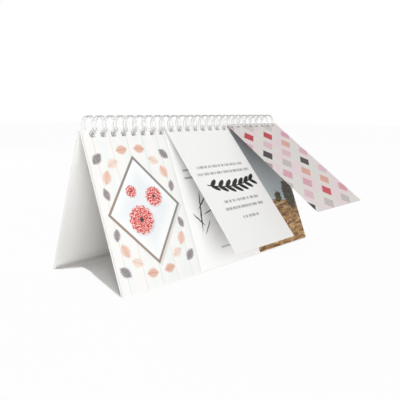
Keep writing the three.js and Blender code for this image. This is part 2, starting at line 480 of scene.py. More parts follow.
@dataclass(frozen=True)
class Print:
    """A print on a card of a given size. Each kind draws its own colour over the card's ground."""

    name: str
    width: float
    length: float
    gloss: Point = (0.36, 0.45)
    specular: float = 0.3
    relief: float = 0.008

    def material(self) -> bpy.types.Material:
        """Makes the finish: the drawn colour on satin card.

        Returns:
            The material, with its print, gloss and relief.
        """
        sheet = Sheet(self.name)
        place = sheet.card_millimetres(self.width, self.length)
        fibres = sheet.noise(sheet.object_millimetres(), 2.6, 3.0, 0.6)
        sheet.set(
            Base_Color=self.draw(sheet, place),
            Roughness=sheet.step(fibres, *NOISE_RANGE, *self.gloss),
            Normal=sheet.bump(fibres, self.relief),
            Specular_IOR_Level=self.specular,
        )
        return sheet.material

    def draw(self, sheet: Sheet, place: Value) -> Value:
        """The print's colour at a place on the card."""
        return sheet.mix(sheet.noise(place, 0.05), "#fcfcfb", "#f9f9f8")


@dataclass(frozen=True)
class Mark:
    """One small painted mark of a print: where it lies, its half sizes, how it is turned and its colour."""

    centre: Point
    size: Point
    turn: float
    colour: str
    strength: float = 1.0


@dataclass(frozen=True)
class BloomPrint(Print):
    """Whitewashed planks, a pale lozenge with three coral blooms, and leaves in the four corners."""

    plank: float = 13.6
    plank_inks: tuple[str, str] = ("#f6f4f1", "#eff3f1")
    grain_ink: str = "#dce1e1"
    joint: float = 0.012
    joint_soft: float = 0.008
    joint_strength: float = 0.6
    joint_ink: str = "#bec6c8"
    centre: Point = (34.7, 57.0)
    lozenge: Point = (31.0, 38.0)
    lozenge_inks: tuple[str, str] = ("#eceff1", "#f7f9f9")
    rim: float = 1.75
    rim_inks: tuple[str, str] = ("#a08b7e", "#8d8782")
    edge: float = 0.25
    shadow_strength: float = 0.35
    shadow_inks: tuple[str, str] = ("#b9b5b2", "#b7b3b6")
    petals: int = 13
    bloom_turn: float = 9.0
    petal_inks: tuple[str, str] = ("#b92a2e", "#ea7b72")
    heart_inks: tuple[str, str] = ("#b32a30", "#e36a63")
    speckle_ink: str = "#b8242b"
    fleck_ink: str = "#fdeee9"
    eye_ink: str = "#4a3a3d"
    rib_ink: str = "#5d5157"
    rib_half_width: float = 0.28
    rib_share: float = 0.8
    rib_strength: float = 0.3
    raggedness: Point = (1.5, 1.2)
    blooms: tuple[tuple[Point, float], ...] = (
        ((-5.5, 6.5), 10.2), ((9.5, -8.0), 7.2), ((-8.5, -13.5), 4.4),
    )
    corner_leaves: tuple[Mark, ...] = (
        Mark((28.0, 13.5), (2.4, 4.4), -14, "#8d8084"),
        Mark((24.5, 24.5), (3.1, 5.2), 22, "#e9b297", 0.85),
        Mark((28.5, 37.5), (3.0, 5.0), 46, "#857a7f"),
        Mark((17.5, 33.5), (3.0, 4.8), 64, "#eecdb8", 0.8),
        Mark((7.5, 42.5), (3.0, 4.8), 84, "#dd9a7a", 0.85),
    )

    def draw(self, sheet: Sheet, place: Value) -> Value:
        """The planks, then the leaves, then the lozenge and its blooms.

        Args:
            sheet: The sheet to draw on.
            place: The place on the card, in millimetres.

        Returns:
            The print's colour.
        """
        ragged = sheet.noise(place, 0.7, 4.0, 0.65)
        bent = sheet.wander(place, ragged, self.raggedness)
        wash = sheet.step(ragged, *NOISE_RANGE, 0.72, 1.0)
        colour = self._planks(sheet, place)
        for side, end in ((-1, -1), (1, -1), (-1, 1), (1, 1)):
            for mark in self.corner_leaves:
                middle = (self.centre[0] + side * mark.centre[0], self.centre[1] + end * mark.centre[1])
                leaf = replace(mark, centre=middle, turn=side * end * mark.turn)
                colour = self._leaf(sheet, bent, wash, colour, leaf)
        colour = self._lozenge(sheet, place, colour)
        for offset, size in self.blooms:
            middle = (self.centre[0] + offset[0], self.centre[1] + offset[1])
            colour = self._bloom(sheet, place, colour, middle, size)
        return colour

    def _leaf(self, sheet: Sheet, place: Value, wash: Value, colour: Value, leaf: Mark) -> Value:
        """A pointed leaf in washed paint, with a darker rib.

        Args:
            sheet: The sheet to draw on.
            place: The place on the card, in millimetres.
            wash: How thick the paint lies, from 0 to 1.
            colour: The colour beneath.
            leaf: The leaf's mark.

        Returns:
            The colour with the leaf over it.
        """
        rib_size = (self.rib_half_width, leaf.size[1] * self.rib_share)
        body = sheet.blade(place, leaf.centre, leaf.size, leaf.turn, 0.32)
        rib = sheet.bar(place, leaf.centre, rib_size, leaf.turn, 0.6)
        colour = sheet.mix(body * wash * leaf.strength, colour, leaf.colour)
        return sheet.mix(rib * self.rib_strength * leaf.strength, colour, self.rib_ink)

    def _planks(self, sheet: Sheet, place: Value) -> Value:
        """Upright planks, washed white, with faint grain and thin joints.

        Args:
            sheet: The sheet to draw on.
            place: The place on the card, in millimetres.

        Returns:
            The planks' colour.
        """
        across, _, _ = sheet.split(place)
        drawn_out = sheet.stretched(place, (1.0, 0.05))
        grain = sheet.noise(drawn_out, 1.6, 4.0, 0.6)
        tint = sheet.noise(drawn_out, 0.12, 1.0)
        washed = sheet.mix(sheet.step(tint, 0.35, 0.7), *self.plank_inks)
        washed = sheet.mix(sheet.step(grain, 0.55, 0.8, 0.0, 0.3), washed, self.grain_ink)
        off_joint = (across / self.plank + grain * 0.02).of("FRACT") - 0.5
        joints = sheet.thread(off_joint, self.joint, self.joint_soft) * self.joint_strength
        return sheet.mix(joints, washed, self.joint_ink)

    def _lozenge(self, sheet: Sheet, place: Value, colour: Value) -> Value:
        """A pale blue-white lozenge with a thin taupe rim and a soft shadow under its lower right side.

        Args:
            sheet: The sheet to draw on.
            place: The place on the card, in millimetres.
            colour: The colour beneath.

        Returns:
            The colour with the lozenge over it.
        """
        across, down, _ = sheet.split(sheet.local(place, self.centre, self.lozenge))
        level = across.of("ABSOLUTE") + down.of("ABSOLUTE")
        below = (across - 0.04).of("ABSOLUTE") + (down - 0.035).of("ABSOLUTE")
        reach = 1.0 / math.hypot(1.0 / self.lozenge[0], 1.0 / self.lozenge[1])
        soft, inner = self.edge / reach, 1.0 - self.rim / reach
        colour = sheet.mix(sheet.step(below, 1.05, 0.97) * self.shadow_strength, colour, self.shadow_inks[0])
        rim = sheet.mix(sheet.step(across - down, -1.0, 1.0), *self.rim_inks)
        colour = sheet.mix(sheet.step(level, 1.0 + soft, 1.0 - soft), colour, rim)
        inside = sheet.mix(sheet.step(level, 0.45, 0.97), *self.lozenge_inks)
        return sheet.mix(sheet.step(level, inner + soft, inner - soft), colour, inside)

    def _bloom(self, sheet: Sheet, place: Value, colour: Value, centre: Point, size: float) -> Value:
        """A coral bloom: two rings of petals about a dark eye.

        Args:
            sheet: The sheet to draw on.
            place: The place on the card, in millimetres.
            colour: The colour beneath.
            centre: The bloom's middle.
            size: Its radius in millimetres.

        Returns:
            The colour with the bloom over it.
        """
        near = sheet.local(place, centre, (size, size), self.bloom_turn)
        across, down, _ = sheet.split(near)
        turns = across.of("ARCTAN2", down) * (self.petals / 2)
        radius = sheet.radius(near)
        speckle = sheet.noise(place, 0.95, 2.0, 0.6)
        white = sheet.step(speckle, 0.53, 0.58)
        outer = turns.of("COSINE").of("ABSOLUTE")
        inner = (turns + 0.9).of("SINE").of("ABSOLUTE")
        shadow = sheet.oval(place, (centre[0] + 0.07 * size, centre[1] + 0.085 * size), (size, size))
        colour = sheet.mix(shadow * self.shadow_strength, colour, self.shadow_inks[1])
        petal = sheet.mix(sheet.step(outer, 0.1, 0.9), *self.petal_inks)
        petal = sheet.mix(sheet.step(speckle, 0.47, 0.4, 0.0, 0.8), petal, self.speckle_ink)
        petal = sheet.mix(white * 0.9, petal, self.fleck_ink)
        colour = sheet.mix(sheet.step(radius - outer * 0.17, 0.86, 0.8), colour, petal)
        heart = sheet.mix(sheet.step(inner, 0.2, 0.9), *self.heart_inks)
        heart = sheet.mix(white * 0.8, heart, self.fleck_ink)
        colour = sheet.mix(sheet.step(radius - inner * 0.12, 0.5, 0.44), colour, heart)
        return sheet.mix(sheet.step(radius, 0.19, 0.13), colour, self.eye_ink)


@dataclass(frozen=True)
class SprigPrint(Print):
    """A quiet card: dashed rules above and below one bold sprig, on a ground with painted shade towards its
    foot.
    """

    # Painted shade: the ground greys from the card's top to its foot.
    ground: tuple[str, str] = ("#fcfcfb", "#f4f4f2")
    ink: str = "#15130f"
    rule_ink: str = "#9b9a98"
    centre: Point = (34.5, 57.5)
    reach: float = 25.5
    bow: float = 0.006
    stem: float = 0.5
    leaves: int = 7
    leaf_length: float = 5.6
    leaf_taper: float = 0.35
    leaf_width: float = 1.7
    leaf_lean: float = 34.0
    leaf_offset: float = 0.8
    first_leaf: float = 4.5
    last_leaf: float = 2.5
    rule_half_height: float = 1.05
    rule_strength: float = 0.85
    rule_shift: float = 7.0
    dash_scale: float = 0.55
    rules: tuple[tuple[Point, float], ...] = (
        ((35.0, 38.5), 26.0), ((35.0, 44.5), 29.0),
        ((36.0, 69.5), 20.0), ((36.0, 75.5), 22.0), ((36.0, 84.0), 9.0),
    )

    def draw(self, sheet: Sheet, place: Value) -> Value:
        """The ground, the rules and the sprig.

        Args:
            sheet: The sheet to draw on.
            place: The place on the card, in millimetres.

        Returns:
            The print's colour.
        """
        _, down, _ = sheet.split(place)
        # Painted shade: greyer towards the card's foot.
        colour = sheet.mix(sheet.step(down, 0.0, self.length), *self.ground)
        for middle, half in self.rules:
            mask = self._rule(sheet, place, middle, half) * self.rule_strength
            colour = sheet.mix(mask, colour, self.rule_ink)
        return sheet.mix(self._sprig(sheet, place), colour, self.ink)

    def _rule(self, sheet: Sheet, place: Value, middle: Point, half: float) -> Value:
        """A thin rule broken into short dashes of many lengths, drawn anew for each height.

        Args:
            sheet: The sheet to draw on.
            place: The place on the card, in millimetres.
            middle: The rule's middle.
            half: Half of its length.

        Returns:
            The rule's mask.
        """
        across, _, _ = sheet.split(place)
        inputs = {"W": across + middle[1] * self.rule_shift, "Scale": self.dash_scale, "Detail": 1.0}
        dashes = sheet.node("ShaderNodeTexNoise", {"noise_dimensions": "1D"}, inputs)
        bar = sheet.bar(place, middle, (half, self.rule_half_height), 0.0, 0.7)
        return bar * sheet.step(dashes, 0.38, 0.5)

    def _sprig(self, sheet: Sheet, place: Value) -> Value:
        """A slightly bowed stem with pairs of pointed leaves.

        Args:
            sheet: The sheet to draw on.
            place: The place on the card, in millimetres.

        Returns:
            The sprig's mask.
        """
        across, down, _ = sheet.split(sheet.local(place, self.centre, (1.0, 1.0)))
        mask = sheet.thread(down + across * across * self.bow, self.stem, 0.12)
        mask = mask * sheet.step(across.of("ABSOLUTE"), self.reach, self.reach - 1)
        span = 2 * self.reach - self.first_leaf - self.last_leaf
        for number in range(self.leaves):
            along = self.first_leaf - self.reach + number * span / (self.leaves - 1)
            size = self.leaf_length - self.leaf_taper * abs(number - self.leaves // 2)
            for lean in (-self.leaf_lean, self.leaf_lean):
                turned = math.radians(lean)
                out = self.leaf_offset * size * Vector((math.cos(turned), math.sin(turned)))
                centre = (self.centre[0] + along + out.x, self.centre[1] - self.bow * along * along + out.y)
                mask = mask.most(sheet.oval(place, centre, (size, self.leaf_width), lean))
        return mask


@dataclass(frozen=True)
class TwigPrint(Print):
    """White card with three pale rules and a few thin brush strokes that branch like a twig."""

    ink: str = "#1d1b1a"
    sway: Point = (1.6, 0.0)
    strokes: tuple[tuple[Point, Point, float], ...] = (
        ((15.5, 66.0), (0.62, 15.0), 12), ((20.5, 58.5), (0.52, 9.0), 50), ((11.5, 72.0), (0.5, 7.0), -42),
        ((26.0, 66.5), (0.46, 8.0), 74), ((19.0, 78.5), (0.42, 6.5), 40), ((33.0, 60.5), (0.4, 5.0), 62),
    )
    rules: tuple[Mark, ...] = (
        Mark((19.0, 33.5), (11.0, 0.8), 0, "#b9b8b7"),
        Mark((23.0, 39.5), (15.0, 0.8), 0, "#b9b8b7"),
        Mark((36.0, 96.0), (9.0, 0.7), 0, "#c6c5c4"),
    )

    def draw(self, sheet: Sheet, place: Value) -> Value:
        """The rules and the brush strokes over plain card.

        Args:
            sheet: The sheet to draw on.
            place: The place on the card, in millimetres.

        Returns:
            The print's colour.
        """
        colour = super().draw(sheet, place)
        for rule in self.rules:
            colour = sheet.mix(sheet.bar(place, rule.centre, rule.size), colour, rule.colour)
        bent = sheet.wander(place, sheet.noise(place, 0.25), self.sway)
        for centre, size, turn in self.strokes:
            colour = sheet.mix(sheet.oval(bent, centre, size, turn, 0.2), colour, self.ink)
        return colour


@dataclass(frozen=True)
class TilePrint(Print):
    """Rows of small slanted tiles in mixed reds, pinks and greys, each row half a space on from the last."""

    space: Point = (13.3, 12.1)
    shift: Point = (0.31, 0.17)
    tile: Point = (0.235, 0.285)
    soft: float = 0.012
    draw_number: float = 3.0
    ground: tuple[str, str] = ("#e9e5df", "#efdde0")
    palette: tuple[str, ...] = (
        "#e2b4c1", "#bf2530", "#d6d1cc", "#b39ea5", "#2f1f2b", "#e0a2a5", "#e4c2cb", "#cc444f", "#dfa6b5",
        "#c9c2bf", "#2f1f2b", "#e3a89a",
    )

    def draw(self, sheet: Sheet, place: Value) -> Value:
        """The ground and the tiles. A tile's two places count the slanted rows that it lies in.

        Args:
            sheet: The sheet to draw on.
            place: The place on the card, in millimetres.

        Returns:
            The print's colour.
        """
        across, down, _ = sheet.split(place)
        column, row = across / self.space[0], down / self.space[1]
        places = [(column + row) * 0.5 + self.shift[0], (row - column) * 0.5 + self.shift[1]]
        counted = {axis: here.of("FLOOR") for axis, here in enumerate(places)}
        cell = sheet.node("ShaderNodeCombineXYZ", {}, {**counted, 2: self.draw_number})
        chance = sheet.node("ShaderNodeTexWhiteNoise", {}, {"Vector": cell}, output="Value")
        stops = [(number / len(self.palette), code) for number, code in enumerate(self.palette)]
        ink = sheet.node("ShaderNodeValToRGB", {"stops": stops}, {0: chance})
        ink.socket.node.color_ramp.interpolation = "CONSTANT"
        offs = [here.of("FRACT") - 0.5 for here in places]
        masks = [sheet.thread(off, half, self.soft) for off, half in zip(offs, self.tile)]
        ground = sheet.mix(sheet.step(sheet.noise(place, 0.05, 1.0), 0.4, 0.62), *self.ground)
        return sheet.mix(masks[0] * masks[1], ground, ink)


@dataclass(frozen=True)
class HillPrint(Print):
    """A quiet landscape: slate sky, golden slopes and a few dark shrubs."""

    sky_inks: tuple[str, str] = ("#a4aeb1", "#c2ced2")
    horizon: float = 62.0
    slope_rise: float = 7.0
    slope_fall: float = 0.07
    grass_lean: float = 24.0
    grass: tuple[tuple[float, str], ...] = (
        (0.36, "#4b3827"), (0.46, "#83603a"), (0.54, "#b78f5e"), (0.64, "#dfc497"),
    )
    shrub_light: str = "#6f6a4e"
    shrubs: tuple[Mark, ...] = (
        Mark((6.0, 66.0), (5.4, 8.0), 8, "#2f2e24"),
        Mark((15.5, 69.5), (4.6, 5.0), -12, "#3a3626"),
        Mark((45.0, 67.0), (5.2, 5.6), 0, "#33301f"),
        Mark((61.5, 66.0), (9.0, 15.0), -14, "#2c2c22"),
    )

    def draw(self, sheet: Sheet, place: Value) -> Value:
        """Sky, slopes and shrubs, back to front.

        Args:
            sheet: The sheet to draw on.
            place: The place on the card, in millimetres.

        Returns:
            The print's colour.
        """
        across, down, _ = sheet.split(place)
        cloud = sheet.noise(place, 0.035, 3.0)
        sky = sheet.mix(sheet.step(down + cloud * 14.0, 5.0, self.horizon + 6), *self.sky_inks)
        swell = sheet.noise(place, 0.06, 5.0) * self.slope_rise
        slope = swell + across * self.slope_fall + (self.horizon + 1.0)
        tufts = sheet.noise(sheet.stretched(place, (0.5, 1.4), self.grass_lean), 0.22, 8.0, 0.72)
        grass = sheet.node("ShaderNodeValToRGB", {"stops": self.grass}, {0: tufts})
        colour = sheet.mix(sheet.step(down - slope, -0.4, 0.4), sky, grass)
        ragged = sheet.noise(place, 0.5, 5.0, 0.7)
        for shrub in self.shrubs:
            radius = sheet.radius(sheet.local(place, shrub.centre, shrub.size, shrub.turn))
            leafy = sheet.mix(sheet.step(ragged, 0.4, 0.65), shrub.colour, self.shrub_light)
            colour = sheet.mix(sheet.step(radius + ragged * 1.6, 1.75, 1.6), colour, leafy)
        return colour


# Work at the bench


def rest_selection() -> None:
    """Leaves edit mode and deselects everything."""
    if bpy.context.object and bpy.context.object.mode != "OBJECT":
        bpy.ops.object.mode_set(mode="OBJECT")
    bpy.ops.object.select_all(action="DESELECT")


def take(piece: bpy.types.Object) -> None:
    """Makes one piece the only one selected, and active.

    Args:
        piece: The piece to work on.
    """
    rest_selection()
    piece.select_set(True)
    bpy.context.view_layer.objects.active = piece


def open_mesh(piece: bpy.types.Object, mode: str = "FACE") -> None:
    """Puts a piece in edit mode with everything selected.

    Args:
        piece: The piece to work on.
        mode: What is selected by: VERT, EDGE or FACE.
    """
    take(piece)
    bpy.ops.object.mode_set(mode="EDIT")
    bpy.ops.mesh.select_mode(type=mode)
    bpy.ops.mesh.select_all(action="SELECT")


def close_mesh() -> None:
    """Goes back to object mode."""
    bpy.ops.object.mode_set(mode="OBJECT")


def pick(piece: bpy.types.Object, kind: str, test: Callable[..., bool]) -> None:
    """Selects the faces or edges of an open mesh that pass a test, and nothing else.

    Args:
        piece: The piece, in edit mode.
        kind: What is tested: faces or edges.
        test: Says of one face or edge whether it is wanted.
    """
    bpy.ops.mesh.select_all(action="DESELECT")
    shape = bmesh.from_edit_mesh(piece.data)
    for part in {"faces": shape.faces, "edges": shape.edges}[kind]:
        if test(part):
            part.select_set(True)
    bmesh.update_edit_mesh(piece.data)


def cut_across(place: Vector, normal: tuple[float, float, float], **options: object) -> None:
    """Bisects the whole open mesh with the plane through a place."""
    bpy.ops.mesh.select_all(action="SELECT")
    bpy.ops.mesh.bisect(plane_co=place, plane_no=normal, **options)


def sweep(steps: int, angle: float, centre: Vector, axis: tuple[float, float, float]) -> None:
    """Sweeps what is selected about an axis, counterclockwise as seen from the axis's tip."""
    bpy.ops.mesh.spin(steps=steps, angle=-angle, center=centre, axis=axis)


def face_outwards() -> None:
    """Turns all the faces of the open mesh outwards."""
    bpy.ops.mesh.select_all(action="SELECT")
    bpy.ops.mesh.normals_make_consistent(inside=False)


def modify(piece: bpy.types.Object, kind: str, **settings: object) -> None:
    """Adds a modifier and applies it.

    Args:
        piece: The piece to work on.
        kind: The modifier's type.
        settings: The modifier's own settings.
    """
    take(piece)
    modifier = piece.modifiers.new(kind.title(), kind)
    for name, value in settings.items():
        setattr(modifier, name, value)
    bpy.ops.object.modifier_apply(modifier=modifier.name)


def round_edges(piece: bpy.types.Object, width: float) -> None:
    """Rounds a piece's sharp edges by a width in millimetres."""
    modify(piece, "BEVEL", width=width * MM, segments=3, limit_method="ANGLE", angle_limit=math.radians(40))


def place_in_mesh(piece: bpy.types.Object, move: Vector, turn: float = 0.0, about_z: float = 0.0) -> None:
    """Turns a piece about X and then Z, moves it, and puts its place in its mesh.

    Args:
        piece: The piece, made about the origin.
        move: Where its own origin goes, in metres.
        turn: The turn about X, in radians.
        about_z: The turn about Z after that, in radians.
    """
    take(piece)
    piece.rotation_euler = (turn, 0.0, about_z)
    piece.location = move
    bpy.ops.object.transform_apply(location=True, rotation=True, scale=True)


def named(name: str) -> bpy.types.Object:
    """Names the active piece and its mesh.

    Args:
        name: The name that both get.

    Returns:
        The active piece.
    """
    piece = bpy.context.object
    piece.name = name
    piece.data.name = name
    return piece


def sized(name: str, width: float, depth: float, height: float = 1.0) -> bpy.types.Object:
    """Names the primitive that was just added at a size of one, and gives it its own size.

    Args:
        name: The piece's name.
        width: Its size along X, in millimetres.
        depth: Its size along Y.
        height: Its size along Z, where it has one.

    Returns:
        The piece.
    """
    piece = named(name)
    piece.scale = (width * MM, depth * MM, height * MM)
    bpy.ops.object.transform_apply(location=True, rotation=True, scale=True)
    return piece


def copy_of(piece: bpy.types.Object, name: str) -> bpy.types.Object:
    """A copy of a piece with a mesh of its own.

    Args:
        piece: The piece to copy.
        name: The copy's name.

    Returns:
        The copy, in the scene.
    """
    twin = piece.copy()
    twin.data = piece.data.copy()
    twin.name = name
    twin.data.name = name
    bpy.context.scene.collection.objects.link(twin)
    return twin


def finish_piece(piece: bpy.types.Object, *materials: bpy.types.Material, angle: float = 40.0) -> None:
    """Gives a piece its materials and smooth shading.

    Args:
        piece: The piece to finish.
        materials: What goes into its material slots, in their order.
        angle: Edges up to this many degrees are shaded smooth.
    """
    take(piece)
    piece.data.materials.clear()
    for material in materials:
        piece.data.materials.append(material)
    bpy.ops.object.shade_smooth_by_angle(angle=math.radians(angle))


# The book


class Side(Enum):
    """The front or rear half of the stand: its word, which way its inside lies along Y, its turn about Z."""

    FRONT = ("front", 1, 0.0)
    REAR = ("rear", -1, math.pi)

    def __init__(self, word: str, inward: int, turn: float) -> None:
        """Gives the half's three values their names.

        Args:
            word: Its word in the names of pieces and bodies.
            inward: 1 where its inside lies towards +Y, and -1 where it lies towards -Y.
            turn: Its turn about Z against the front half, in radians.
        """
        self.word = word
        self.inward = inward
        self.turn = turn

    def __str__(self) -> str:
        """The half's word, as it stands in the names of pieces and bodies."""
        return self.word


class Column(Enum):
    """A column of cards, with the lift of its top card: degrees about the wire from straight down."""

    LEFT = 21.7
    MIDDLE = 40.8
    RIGHT = 55.4

    def __str__(self) -> str:
        """The column's word, as it stands in the names of pieces and bodies."""
        return self.name.lower()


@dataclass
class Layout:
    """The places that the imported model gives, in metres, and the sizes that several pieces share.

    Boards and cards hang from the wire's axis. Their top edge and their row of holes are counted from
    there down the sheet, and a board's outer face lies a little inside the slanted plane through the
    axis. The spread is each board's lean from upright and the slope is the base's rise, in radians.
    """

    frame: dict
    spread: float = math.radians(21.7)
    slope: float = math.radians(15.2)
    hole_pitch: float = 25.4 / 3
    hole_count: int = 24
    hole_row: float = 6.82
    sheet_top: float = 3.42
    board_face: float = 0.1
    axis: Vector = field(init=False)
    hinges: dict[Side, Vector] = field(init=False)
    stand_width: float = field(init=False)

    def __post_init__(self) -> None:
        """Reads the wire's axis and the base hinges from the joints, and the width from the front board."""
        places = {joint["name"]: Vector(joint["pos_m"]) for joint in self.frame["joints"]}
        self.axis = places["left_leaf_turn"]
        self.hinges = {side: places[f"{side}_base_fold"] for side in Side}
        low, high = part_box("front_board")
        self.stand_width = (high.x - low.x) / MM

    def holes(self) -> list[float]:
        """The places of all the holes along X, in millimetres."""
        return [(number - (self.hole_count - 1) / 2) * self.hole_pitch for number in range(self.hole_count)]

    def seat_on_hinge(self, piece: bpy.types.Object, side: Side) -> None:
        """Leans a piece that was made about its hinge to the base's slope, and sets it on that side."""
        place_in_mesh(piece, Vector(), self.slope)
        place_in_mesh(piece, self.hinges[side], 0.0, side.turn)


@dataclass
class PunchedSheet:
    """A flat sheet with a row of holes near its top edge, hanging down from the wire's axis."""

    layout: Layout
    left: float
    right: float
    length: float
    hole_width: float = 4.0
    hole_height: float = 3.2

    def make(self, name: str, rows: int = 1) -> bpy.types.Object:
        """Models the sheet flat, with its place on the card kept in its UV map.

        Args:
            name: The piece's name.
            rows: How many rows of faces the sheet has below its holes.

        Returns:
            The open sheet in the plane y = 0, facing -Y.
        """
        foot = self.layout.sheet_top + self.length
        middle = Vector(((self.left + self.right) / 2, 0.0, -(self.layout.sheet_top + foot) / 2)) * MM
        rest_selection()
        bpy.ops.mesh.primitive_plane_add(size=1.0, location=middle, rotation=(math.pi / 2, 0.0, 0.0))
        piece = sized(name, self.right - self.left, self.length)
        self._punch(piece)
        for row in range(1, rows):
            depth = self.layout.hole_row + (foot - self.layout.hole_row) * row / rows
            cut_across(Vector((0.0, 0.0, -depth * MM)), (0.0, 0.0, 1.0))
        close_mesh()
        self._lay_out(piece)
        return piece

    def _punch(self, piece: bpy.types.Object) -> None:
        """Cuts along the holes' sides, deletes the faces inside them and leaves the mesh open.

        Args:
            piece: The whole sheet.
        """
        half_width, half_height = self.hole_width / 2, self.hole_height / 2
        row = self.layout.hole_row
        holes = [place for place in self.layout.holes() if self.left < place < self.right]
        open_mesh(piece)
        for place in holes:
            for side in (-half_width, half_width):
                cut_across(Vector(((place + side) * MM, 0.0, 0.0)), (1.0, 0.0, 0.0))
        for side in (-half_height, half_height):
            cut_across(Vector((0.0, 0.0, -(row + side) * MM)), (0.0, 0.0, 1.0))

        def in_hole(face: bmesh.types.BMFace) -> bool:
            """Whether a face's middle lies inside a hole."""
            across, _, level = face.calc_center_median() / MM
            return abs(level + row) < half_height and any(abs(across - place) < half_width for place in holes)

        pick(piece, "faces", in_hole)
        bpy.ops.mesh.delete(type="FACE")

    def _lay_out(self, piece: bpy.types.Object) -> None:
        """Writes each corner's place on the sheet into its UV map, from the top left, in shares of the size.

        Args:
            piece: The punched sheet.
        """
        uv_map = piece.data.uv_layers.active or piece.data.uv_layers.new()
        uv_map.name = CARD_LAYOUT
        for loop in piece.data.loops:
            place = piece.data.vertices[loop.vertex_index].co / MM
            across = (place.x - self.left) / (self.right - self.left)
            uv_map.data[loop.index].uv = (across, (-place.z - self.layout.sheet_top) / self.length)


@dataclass
class TallBoards:
    """The two tall boards: stiff board wrapped in white paper, punched along the top."""

    layout: Layout
    thickness: float = 1.1
    length: float = 110.0
    spare: float = 2.0
    edge_round: float = 0.3

    def build(self, paper: bpy.types.Material) -> list[bpy.types.Object]:
        """Models both boards."""
        return [self._board(side, paper) for side in Side]

    def _board(self, side: Side, paper: bpy.types.Material) -> bpy.types.Object:
        """One board: a punched sheet given its thickness, cut off along the floor and rounded.

        Args:
            side: The half that the board carries.
            paper: The paper it is wrapped in.

        Returns:
            The board at its place.
        """
        half = self.layout.stand_width / 2
        piece = PunchedSheet(self.layout, -half, half, self.length + self.spare).make(f"{side}_board_covered")
        modify(piece, "SOLIDIFY", thickness=self.thickness * MM, offset=0.0, use_even_offset=True)
        middle = side.inward * (self.layout.board_face + self.thickness / 2) * MM
        place_in_mesh(piece, Vector((0.0, middle, 0.0)))
        place_in_mesh(piece, self.layout.axis, -side.inward * self.layout.spread)
        open_mesh(piece)
        cut_across(Vector(), (0.0, 0.0, -1.0), clear_outer=True, use_fill=True)
        face_outwards()
        close_mesh()
        round_edges(piece, self.edge_round)
        finish_piece(piece, paper)
        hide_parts(f"{side}_board")
        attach(piece, f"{side}_stand")
        return piece


@dataclass
class BasePanels:
    """The two base panels, which rise from the base hinges to the crease."""

    layout: Layout
    inset: float = 0.5
    hinge_room: float = 0.35
    set_back: float = 0.3
    thickness: float = 1.0
    edge_round: float = 0.28

    def build(self, paper: bpy.types.Material) -> list[bpy.types.Object]:
        """Models both panels from the boxes of their solids."""
        return [self._panel(side, paper) for side in Side]

    def _panel(self, side: Side, paper: bpy.types.Material) -> bpy.types.Object:
        """One panel: a block at its size in the hinge's own frame, with rounded paper edges.

        Args:
            side: The half that the panel belongs to.
            paper: The paper it is wrapped in.

        Returns:
            The panel at its place.
        """
        reach = self._reach()
        width = self.layout.stand_width - 2 * self.inset
        middle = Vector((0.0, (reach + self.set_back) / 2, -self.hinge_room - self.thickness / 2)) * MM
        rest_selection()
        bpy.ops.mesh.primitive_cube_add(size=1.0, location=middle)
        piece = sized(f"base_{side}_panel_covered", width, reach - self.set_back, self.thickness)
        round_edges(piece, self.edge_round)
        self.layout.seat_on_hinge(piece, side)
        finish_piece(piece, paper)
        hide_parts(f"base_{side}_panel")
        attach(piece, f"{side}_base")
        return piece

    def _reach(self) -> float:
        """How far a panel reaches from its hinge along the slope, read from its solid's far lower edge.

        Returns:
            The reach in millimetres.
        """
        _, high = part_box("base_front_panel")
        level = (high.y - self.layout.hinges[Side.FRONT].y) / MM
        drop = (self.hinge_room + self.thickness) * math.sin(self.layout.slope)
        return (level - drop) / math.cos(self.layout.slope)


